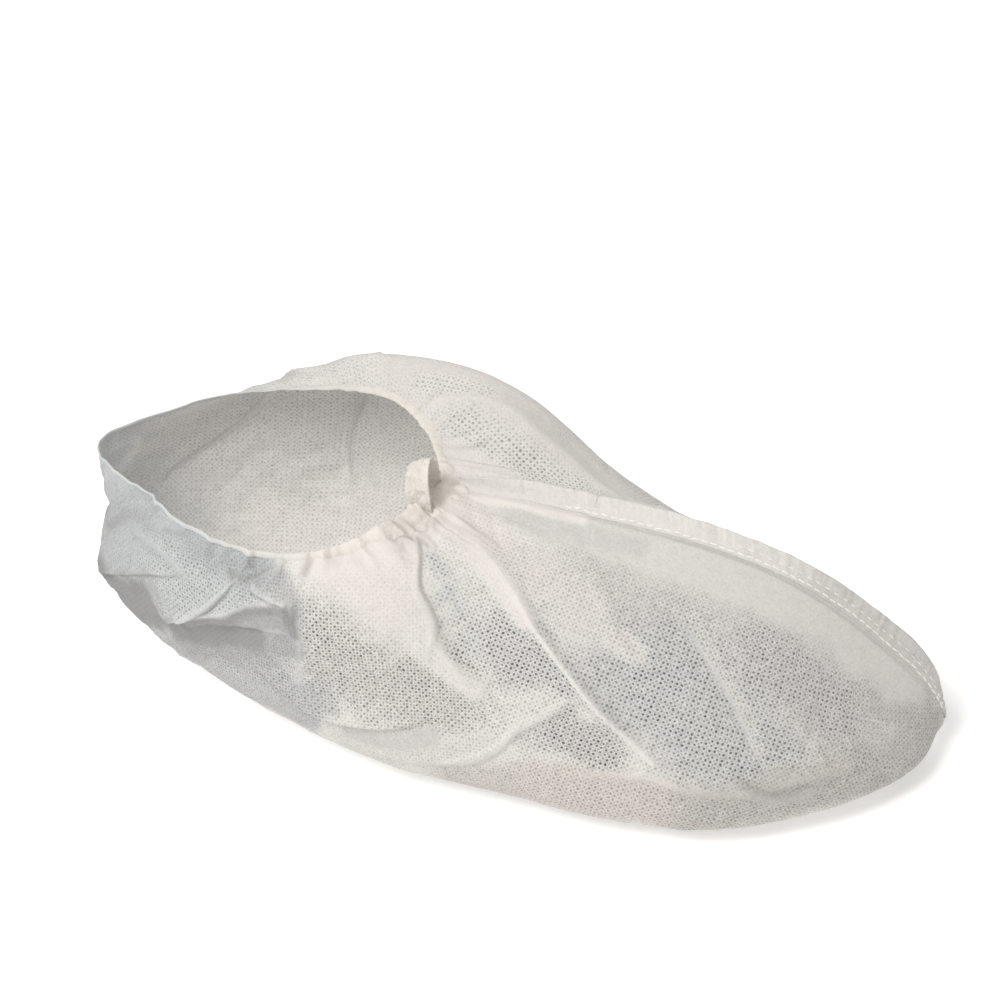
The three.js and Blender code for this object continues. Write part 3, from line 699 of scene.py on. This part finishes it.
def web_surface(finish, colour, height, relief, dull):
    """Matt face of the web that lets some light through, less where it is dull."""
    bump = finish.node("ShaderNodeBump", {}, {"Strength": relief, "Distance": WEB_RELIEF, "Height": height})
    face = finish.node("ShaderNodeBsdfPrincipled", {}, {
        "Base Color": colour,
        "Roughness": WEB_ROUGHNESS,
        "Specular IOR Level": WEB_SPECULAR,
        "Normal": bump,
    })
    glow = finish.node("ShaderNodeBsdfTranslucent", {}, {"Color": WEB_GLOW})
    through_web = (1 - dull).clamp() * GLOW_SHARE
    return finish.done(finish.node("ShaderNodeMixShader", {}, {0: through_web, 1: face, 2: glow}))


def bag_finish():
    """Web with a square lattice of bond points: dark spots in a pale net where it lies close, else faint."""
    finish = Finish("nonwoven_cloth")
    web = finish.node("ShaderNodeUVMap", {"uv_map": "web"}, {})
    show, shade, crease_shade, light_tint = (
        finish.attribute(name) for name in ("show", "shade", "crease_shade", "light_tint"))
    wander = {"Vector": web, "Scale": BOND_DRIFT_SCALE, "Detail": 2}
    drift = finish.node("ShaderNodeTexNoise", {}, wander, "Color")
    strayed = finish.node("ShaderNodeVectorMath", {"operation": "MULTIPLY_ADD"}, {
        0: drift, 1: (BOND_DRIFT, BOND_DRIFT, 0), 2: web})
    bonds = {"Vector": strayed, "Scale": 1 / BOND_PITCH, "Randomness": BOND_UNEVEN}
    flat = {"voronoi_dimensions": "2D"}
    apart = finish.node("ShaderNodeTexVoronoi", flat, bonds, "Distance")
    lot = finish.node("ShaderNodeSeparateColor", {}, {
        "Color": finish.node("ShaderNodeTexVoronoi", flat, bonds, "Color")})
    patches = finish.clouds(web, WEB_SCALES["patches"])
    clouds = finish.clouds(web, WEB_SCALES["clouds"], 4)
    fibres = finish.clouds(web, WEB_SCALES["fibres"])
    dot = (apart + 0.06 * lot + 0.5 * fibres).fall(*BOND_DOT)
    halo = apart.fall(*BOND_RING)
    strength = (show * (1.05 + 0.9 * patches + 0.5 * clouds)).clamp()
    mark = (dot * strength * (1 - 0.2 * lot)).clamp()
    net = strength * (0.36 - 0.62 * halo)
    grain = fibres * (0.6 + 1.8 * strength)
    # Painted shade where shade is above 0, painted light below 0, with the web's own pale net, clouds and
    # fibres
    veil = (0.18 + 0.8 * shade + net + 0.35 * clouds + grain).clamp()
    # Painted coloured light: a cool cast in shade and at the heel, warm light where lit and on the skirt
    ground = finish.blend((light_tint * -1).clamp(), WEB_WHITE, WEB_COOL_LIGHT)
    ground = finish.blend((light_tint * 0.8).clamp(), ground, WEB_WARM_LIGHT)
    ground = finish.blend(veil, ground, WEB_SHADE)
    colour = finish.blend(mark, ground, BOND_DARK)
    # Painted shade darkens the crevices of folds and pinches
    colour = finish.blend((crease_shade * 0.8).clamp(), colour, CREASE_SHADE_COLOUR)
    # Bond points and the veil's painted shade also let less light through the web
    return web_surface(finish, colour, 0.5 * clouds + 0.5 * fibres - 1.1 * mark, 0.7, mark + 0.7 * veil)


def grid_piece(name, places, material):
    """Piece of a grid of places (along, across, xyz), and the step along and across of each vertex."""
    shape = bmesh.new()
    ends = np.array(places.shape[:2]) - 1
    bmesh.ops.create_grid(shape, x_segments=ends[0], y_segments=ends[1], size=1)
    spots = np.rint((np.array([vert.co[:2] for vert in shape.verts]) + 1) / 2 * ends).astype(int)
    for vert, (along, across) in zip(shape.verts, spots):
        vert.co = places[along, across]
    return piece_of(name, shape, material), *spots.T


def carry(piece, name, values):
    """Gives a piece a number at each vertex, for its material."""
    piece.data.attributes.new(name, "FLOAT", "POINT").data.foreach_set("value", values)


def corner_vertices(piece):
    corners = np.zeros(len(piece.data.loops), int)
    piece.data.loops.foreach_get("vertex_index", corners)
    return corners


LAY_STEP = 4
LAY_ROUNDS = 40
# How far round the rows of bond points run from the length of the bag, in degrees, and how close they are
BOND_LAYS = {"toe": dict(turn=17, close=1), "heel": dict(turn=40, close=1), "far": dict(turn=-5, close=0.92)}


def turned(places, degrees):
    """Flat places turned about the origin."""
    cos, sin = math.cos(math.radians(degrees)), math.sin(math.radians(degrees))
    return places @ np.array(((cos, sin), (-sin, cos)))


def lay_flat(places, material):
    """Flat places, in metres, of a grid of places: opened out with the least stretch, its length along u."""
    coarse = places[::LAY_STEP, ::LAY_STEP]
    laid, along, across = grid_piece("laid_web", coarse, material)
    laid.data.uv_layers.new(name="flat")
    bpy.context.view_layer.objects.active = laid
    bpy.ops.object.mode_set(mode="EDIT")
    bpy.ops.mesh.select_all(action="SELECT")
    bpy.ops.uv.unwrap(method="MINIMUM_STRETCH", iterations=LAY_ROUNDS)
    bpy.ops.object.mode_set(mode="OBJECT")
    corners = corner_vertices(laid)
    flat_uv = np.zeros(2 * len(corners))
    laid.data.uv_layers["flat"].data.foreach_get("uv", flat_uv)
    flat = np.zeros((*coarse.shape[:2], 2))
    flat[along[corners], across[corners]] = flat_uv.reshape(-1, 2)
    bpy.data.objects.remove(laid)
    flat *= run_lengths(coarse)[-1].sum() / run_lengths(flat)[-1].sum()
    ahead = np.linalg.lstsq(flat.reshape(-1, 2) - flat.mean((0, 1)), coarse[..., 0].ravel(), rcond=None)[0]
    laid_out = turned(flat, -math.degrees(math.atan2(ahead[1], ahead[0])))
    for axis, count in enumerate(places.shape[:2]):
        at = np.linspace(0, laid_out.shape[axis] - 1, count)
        low = np.minimum(at.astype(int), laid_out.shape[axis] - 2)
        share = np.expand_dims(at - low, tuple(k for k in range(3) if k != axis))
        laid_out = np.take(laid_out, low, axis) * (1 - share) + np.take(laid_out, low + 1, axis) * share
    return laid_out


bag_cloth = bag_finish()
near_flat = lay_flat(smooth[:heel_turn + 1, :WALL_ROWS + 1], bag_cloth)
far_flat = lay_flat(smooth[heel_turn:, :WALL_ROWS + 1], bag_cloth)
bag, at_turn, at_row = grid_piece("cover_bag", folded, bag_cloth)
corners = corner_vertices(bag)
corner_turn, corner_row = at_turn[corners].reshape(-1, 4), at_row[corners].reshape(-1, 4)
is_wall = corner_row.max(1) <= WALL_ROWS
is_far = is_wall & (corner_turn.max(1) > heel_turn)
overlap_turns, overlap_columns = np.array((*FOLDS["overlap"]["path"], *FOLDS["overlap_end"]["path"][1:])).T
face_column = columns[corner_turn[:, 0], corner_row[:, 0]]
over = turns[corner_turn[:, 0]] > np.interp(face_column, overlap_columns, overlap_turns)
bag_uv = smooth[corner_turn, corner_row][..., :2].copy()
for side, laid, start, lay in (
        (is_wall & ~is_far & ~over, near_flat, 0, BOND_LAYS["toe"]),
        (is_wall & ~is_far & over, near_flat, 0, BOND_LAYS["heel"]),
        (is_far, far_flat, heel_turn, BOND_LAYS["far"])):
    bag_uv[side] = (turned(laid, lay["turn"]) * lay["close"])[corner_turn[side] - start, corner_row[side]]
bag.data.uv_layers.new(name="web").data.foreach_set("uv", bag_uv.ravel())
for name, values in look.items():
    carry(bag, name, values[at_turn, at_row])

MEETING_GAP = 0.005 * MM


def close_grid(piece):
    """Joins the edges of a grid that meet."""
    shape = bmesh.new()
    shape.from_mesh(piece.data)
    bmesh.ops.remove_doubles(shape, verts=shape.verts, dist=MEETING_GAP)
    shape.to_mesh(piece.data)
    shape.free()
    piece.data.shade_smooth()


close_grid(bag)
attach(bag, "root")
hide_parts("cover_body")


# Hem
# The web is turned over a thin elastic round the ankle and sewn, so it closes into a soft ruched roll.
# The roll is full at the throat and the near front, and drawn out thin and taut round the heel.
HEM_STEPS = 1200
HEM_SIDES = 36
RIM_STEPS = 3000
HEM_DOWN_TO = 0.06
HEM_DROP = 0.95
HEM_UNEVEN = 0.3
HEM_RUCHE = 1.6 * MM
HEM_CRUMPLE = 1.3 * MM
HEM_FINE = 0.5 * MM
HEM_SQUEEZE = 0.6
# Painted shade in the hem's crevices: how wide a crevice is, in noise, the small ones' share, how grey
HEM_CREVICE = 0.12
HEM_SMALL_CREVICE = 0.6
HEM_CREVICE_SHADE = 0.6
HEM_SINK = 1.3 * MM
HEM_WANDER = 1 * MM
HEM_HOLD_ROWS = 5
# Where the hem's painted cool cast begins toward the heel, and over how far it grows
HEM_COOL_FROM = -45 * MM
HEM_COOL_OVER = 70 * MM
HEM_RELIEF = 0.5
WEB_CREAM = (0.98, 0.94, 0.885, 1)
WEB_CREAM_SHADE = (0.72, 0.68, 0.63, 1)


def plain_web_finish(name, white, shade, relief):
    """Web without visible bond points: clouds and fibres, painted cool light and shade from its attributes.
    """
    finish = Finish(name)
    where = finish.node("ShaderNodeTexCoord", {}, {}, "Object")
    light_tint = finish.attribute("light_tint")
    hollow = finish.attribute("hollow")
    clouds = finish.clouds(where, 350, 4)
    fibres = finish.clouds(where, 1500, 2)
    # Painted coloured light: a cool cast where the piece carries one, on the hem toward the heel
    ground = finish.blend((light_tint * -0.8).clamp(), white, WEB_COOL_LIGHT)
    # Painted shade in crevices and hollows, and the fin's grey along its length, from the hollow attribute
    veil = (0.14 + hollow + 0.9 * clouds + 0.9 * fibres).clamp()
    colour = finish.blend(veil, ground, shade)
    return web_surface(finish, colour, 0.7 * clouds + 0.9 * fibres, relief, 0.3 * veil)


even_turns = np.linspace(0, SPANS, RIM_STEPS + 1)
rim_way = run_lengths(bag_places(even_turns, 0))
hem_turns = np.interp(np.linspace(0, rim_way[-1], HEM_STEPS + 1), rim_way, even_turns)
rim = bag_places(hem_turns, 0)
hem_down = unit(bag_places(hem_turns, HEM_DOWN_TO) - rim)
hem_along = np.gradient(rim, axis=0)
hem_along[0] = hem_along[-1] = hem_along[0] + hem_along[-1]
hem_out = unit(np.cross(hem_along, hem_down))
full = hem_fullness(hem_turns)
half_width = (hem_half_width(hem_turns) * (1 + HEM_UNEVEN * noise_at(rim, 110, 5)))[:, None, None]
half_thickness = (HEM_HALF_THICKNESS[0] + HEM_HALF_THICKNESS[1] * full)[:, None, None]
round_hem = np.linspace(0, 2 * np.pi, HEM_SIDES + 1)[None, :, None]
below, beyond = -np.cos(round_hem), np.sin(round_hem)
hem_face = unit(hem_down[:, None] * below * half_thickness + hem_out[:, None] * beyond * half_width)
hem_places = rim[:, None] + hem_down[:, None] * (1 + below) * half_width * HEM_DROP
sink = HEM_SINK * full[:, None, None] * (1 + below) / 2
hem_places = hem_places + hem_out[:, None] * (beyond * half_thickness - sink)
hem_places = hem_places + hem_down[:, None] * (HEM_WANDER * full * noise_at(rim, 90, 7))[:, None, None]
squeezed = rim[:, None] + HEM_SQUEEZE * (hem_places - rim[:, None])
lumps, small_lumps = abs(noise_at(squeezed, 140, 2)), abs(noise_at(squeezed, 330))
puckers = HEM_RUCHE * (1.5 * lumps - 0.3) + HEM_CRUMPLE * (small_lumps - 0.2)
puckers += HEM_FINE * (0.2 - abs(noise_at(hem_places, 800, 4)))
# Masks of the crevices between the lumps, for their painted shade
crevices, small_crevices = (np.clip(1 - depth / HEM_CREVICE, 0, 1) for depth in (lumps, small_lumps))
crevices = crevices + HEM_SMALL_CREVICE * small_crevices
hem_places = hem_places + hem_face * (puckers * full[:, None])[..., None]
top_shift = (folded - smooth)[:, :HEM_HOLD_ROWS].mean(1)
hem_places = hem_places + points_at(hem_turns, turns, top_shift)[:, None]
hem_places[0] = hem_places[-1]
hem_places[:, 0] = hem_places[:, -1]
hem_cloth = plain_web_finish("gathered_hem", WEB_CREAM, WEB_CREAM_SHADE, HEM_RELIEF)
hem, hem_step, hem_side = grid_piece("ruched_hem", hem_places, hem_cloth)
# Painted coloured light: the hem takes the bag's cool cast toward the heel
hem_back = HEM_COOL_FROM - hem_places[hem_step, hem_side, 0]
carry(hem, "light_tint", -np.clip(hem_back / HEM_COOL_OVER, 0, 1))
# Painted shade in the hem's crevices, weaker where the hem is thin
hem_painted_shade = HEM_CREVICE_SHADE * crevices * np.minimum(full, 1)[:, None]
carry(hem, "hollow", hem_painted_shade[hem_step, hem_side])
close_grid(hem)
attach(hem, "root")
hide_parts("elastic_hem")


# Seam fin
# The two edges of the blank are sewn face to face from the throat to the toe and stand as a low fin.
# It leans over to the far side and its free edge waves a little where the stitches draw it up.
FIN_STEPS = 900
FIN_ACROSS = 14
FIN_WIDTH = 7.4 * MM
FIN_WALL = 0.8 * MM
FIN_LEAN = math.radians(46)
FIN_END = BAG_COLUMNS.index("belly")
FIN_ROOT_AT = -0.08
FIN_WIDTH_SHARES = {0: 0.6, 0.1: 0.95, 0.2: 1, 0.72: 1, 0.84: 1.1, 0.9: 0.85, 0.95: 0.4, 1: 0.02}
FIN_UNEVEN = 0.06
FIN_WAVE = 0.6 * MM
# Rise of the puckers, by how many there are to the metre, and how far they slant
FIN_PUCKERS = {170: 0.9 * MM, 420: 0.5 * MM}
FIN_PUCKER_LEVEL = 0.25
FIN_SLANT = 0.35
FIN_HOLLOW = 1.6 * MM
FIN_HOLLOW_TO = 0.3
# How grey the painted shade in that hollow is
FIN_HOLLOW_SHADE = 0.3
FIN_RELIEF = 0.4
# How grey the fin is, by share of its length
FIN_GREYS = {0: -0.1, 0.4: -0.08, 0.58: 0.02, 0.66: 0.32, 1: 0.42}
FIN_WHITE = (0.9, 0.885, 0.855, 1)
FIN_SHADE = (0.5, 0.495, 0.485, 1)

seam_rows = int(np.searchsorted(columns[0], FIN_END))
seam_line = folded[0, :seam_rows + 1]
seam_way = run_lengths(seam_line)
fin_shares = np.linspace(0, 1, FIN_STEPS + 1)
fin_root = points_at(fin_shares * seam_way[-1], seam_way, seam_line)
fin_along = unit(np.gradient(fin_root, axis=0))
fin_up = unit(np.cross(fin_along, (0, 1, 0)))
fin_stand = fin_up * math.cos(FIN_LEAN) + np.array((0, math.sin(FIN_LEAN), 0))
fin_face = unit(np.cross(fin_along, fin_stand))
fin_width = FIN_WIDTH * from_table(FIN_WIDTH_SHARES, fin_shares)
fin_width = fin_width * (1 + FIN_UNEVEN * noise_at(fin_root, 130, 1))
fin_wave = FIN_WAVE * noise_at(fin_root, 110)
fin_hollow = FIN_HOLLOW * np.clip(1 - fin_shares / FIN_HOLLOW_TO, 0, 1)


def fin_place(step, across):
    """Points on the fin's middle, at steps along it and shares across it from the root."""
    flat = fin_root[step] + fin_stand[step] * (fin_width[step] * across)[..., None]
    slanted = fin_root[step] + fin_along[step] * (FIN_SLANT * fin_width[step] * across)[..., None]
    lean = fin_wave[step] * across - fin_hollow[step] * np.sin(np.pi * np.clip(across, 0, 1))
    for scale, rise in FIN_PUCKERS.items():
        pucker = rise * (FIN_PUCKER_LEVEL - abs(noise_at(slanted, scale, 6)))
        lean = lean + pucker * np.clip(2 * across, 0, 1)
    return flat + fin_face[step] * lean[..., None]


def thicken(piece, thickness):
    """Gives a sheet a wall, half to each side."""
    wall = piece.modifiers.new("wall", "SOLIDIFY")
    wall.thickness = thickness
    wall.offset = 0


fin_acrosses = np.linspace(FIN_ROOT_AT, 1, FIN_ACROSS + 1)
steps, acrosses = np.meshgrid(np.arange(FIN_STEPS + 1), fin_acrosses, indexing="ij")
fin_cloth = plain_web_finish("seam_cloth", FIN_WHITE, FIN_SHADE, FIN_RELIEF)
fin, fin_step, fin_side = grid_piece("seam_fin", fin_place(steps, acrosses), fin_cloth)
# Painted shade in the fin's lengthwise hollow by the throat, then the greys along its length
fin_grey = fin_hollow[steps] / FIN_HOLLOW * np.sin(np.pi * np.clip(acrosses, 0, 1)) ** 2 * FIN_HOLLOW_SHADE
fin_grey = fin_grey + from_table(FIN_GREYS, fin_shares)[steps]
carry(fin, "hollow", fin_grey[fin_step, fin_side])
thicken(fin, FIN_WALL)
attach(fin, "root")
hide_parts("instep_seam")


# Stitches
# White thread sews the fin by its root, and a second, finer row runs beside it to the toe.
# Each stitch is a short raised dash on both faces, never quite in line with the next.
STITCH_TO = 0.97
STITCH_ROWS = {
    "root": dict(across=0.12, start=0.2, length=3 * MM, gap=0.3 * MM, thick=0.6 * MM),
    "second": dict(across=0.45, start=0.5, length=2.2 * MM, gap=1.5 * MM, thick=0.45 * MM),
}
STITCH_STRAY = (0.03, 0.16)
STITCH_RISE = 0.55 * FIN_WALL
THREAD_WHITE = (0.94, 0.92, 0.89, 1)
THREAD_ROUGHNESS = 0.6

thread = Finish("seam_thread")
thread_look = {"Base Color": THREAD_WHITE, "Roughness": THREAD_ROUGHNESS}
thread_cloth = thread.done(thread.node("ShaderNodeBsdfPrincipled", {}, thread_look))
stitch_shape = bmesh.new()


def add_stitch(middle, heading, face, length, thick):
    """A raised dash at a place, along a heading."""
    side = Vector(heading).cross(Vector(face))
    turn = Matrix((Vector(heading) * length / 2, side * thick / 2, Vector(face) * thick / 2))
    place = Matrix.Translation(Vector(middle)) @ turn.transposed().to_4x4()
    bmesh.ops.create_icosphere(stitch_shape, subdivisions=2, radius=1, matrix=place)


fin_way = seam_way[-1]
dice = np.random.default_rng(3)
for row in STITCH_ROWS.values():
    for start in np.arange(row["start"] * fin_way, STITCH_TO * fin_way, row["length"] + row["gap"]):
        step = round(start / fin_way * FIN_STEPS)
        aside, turn = dice.uniform(-1, 1, 2) * STITCH_STRAY
        middle = fin_place(np.array([step]), np.array([row["across"] + aside]))[0]
        heading = unit(fin_along[step] + fin_stand[step] * turn)
        for side in (1, -1):
            rise = fin_face[step] * side * STITCH_RISE
            add_stitch(middle + rise, heading, fin_face[step], row["length"], row["thick"])
stitches = piece_of("seam_stitches", stitch_shape, thread_cloth)
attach(stitches, "root")


# Hem loop
# The end of the hem web is caught in the seam at the throat and stands there as a short curled band.
# Its mouth is open to the toe, turned a little to the far side, and its outside is fibrous.
LOOP_FEET = np.array(((-22, -14, 95.5), (-23.5, -1, 95.5))) * MM
LOOP_HEIGHT = 19 * MM
LOOP_SLOPE = 0.2
LOOP_WIDTH = 10 * MM
LOOP_WALL = 0.6 * MM
LOOP_ARC = math.radians(235)
LOOP_STEPS = 96
LOOP_ACROSS = 32
LOOP_FLARE = 1.2 * MM
LOOP_SPREAD = 10 * MM
LOOP_DIP = 0.6
LOOP_TAPER = 0.15
# Rise of the wrinkles, by how many there are to the metre
LOOP_WRINKLES = {220: 1.3 * MM, 600: 0.9 * MM}
LOOP_WRINKLE_LEVEL = 0.2
LOOP_RELIEF = 0.9
LOOP_SHADE = (0.5, 0.46, 0.42, 1)

loop_middle = LOOP_FEET.mean(0)
angles = np.linspace(LOOP_ARC / 2, -LOOP_ARC / 2, LOOP_STEPS + 1)[:, None]
sides = np.linspace(-0.5, 0.5, LOOP_ACROSS + 1)[None]
swing = np.sin(angles) / math.sin(LOOP_ARC / 2)
height = (np.cos(angles) - math.cos(LOOP_ARC / 2)) / (1 - math.cos(LOOP_ARC / 2))
flare = LOOP_FLARE * (4 * sides**2)
loop_span = LOOP_FEET[1] - LOOP_FEET[0]
loop_axis = unit(np.cross(loop_span, (0, 0, 1)))
loop_places = loop_middle - loop_span / 2 * (swing * (1 + flare / LOOP_SPREAD))[..., None]
loop_places = loop_places + loop_axis * (sides * LOOP_WIDTH * (1 - LOOP_TAPER * height))[..., None]
loop_rise = LOOP_HEIGHT * (1 + LOOP_SLOPE * sides) - LOOP_DIP * flare
loop_places = loop_places + np.array((0, 0, 1)) * (height * loop_rise)[..., None]
loop_face = unit(loop_places - loop_middle - np.array((0, 0, LOOP_HEIGHT / 2)))
for scale, rise in LOOP_WRINKLES.items():
    wrinkle = rise * (LOOP_WRINKLE_LEVEL - abs(noise_at(loop_places, scale, 3)))
    loop_places = loop_places + loop_face * wrinkle[..., None]
loop_cloth = plain_web_finish("hem_tape", WEB_CREAM, LOOP_SHADE, LOOP_RELIEF)
loop, _, _ = grid_piece("hem_loop", loop_places, loop_cloth)
thicken(loop, LOOP_WALL)
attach(loop, "root")
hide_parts("throat_loop")
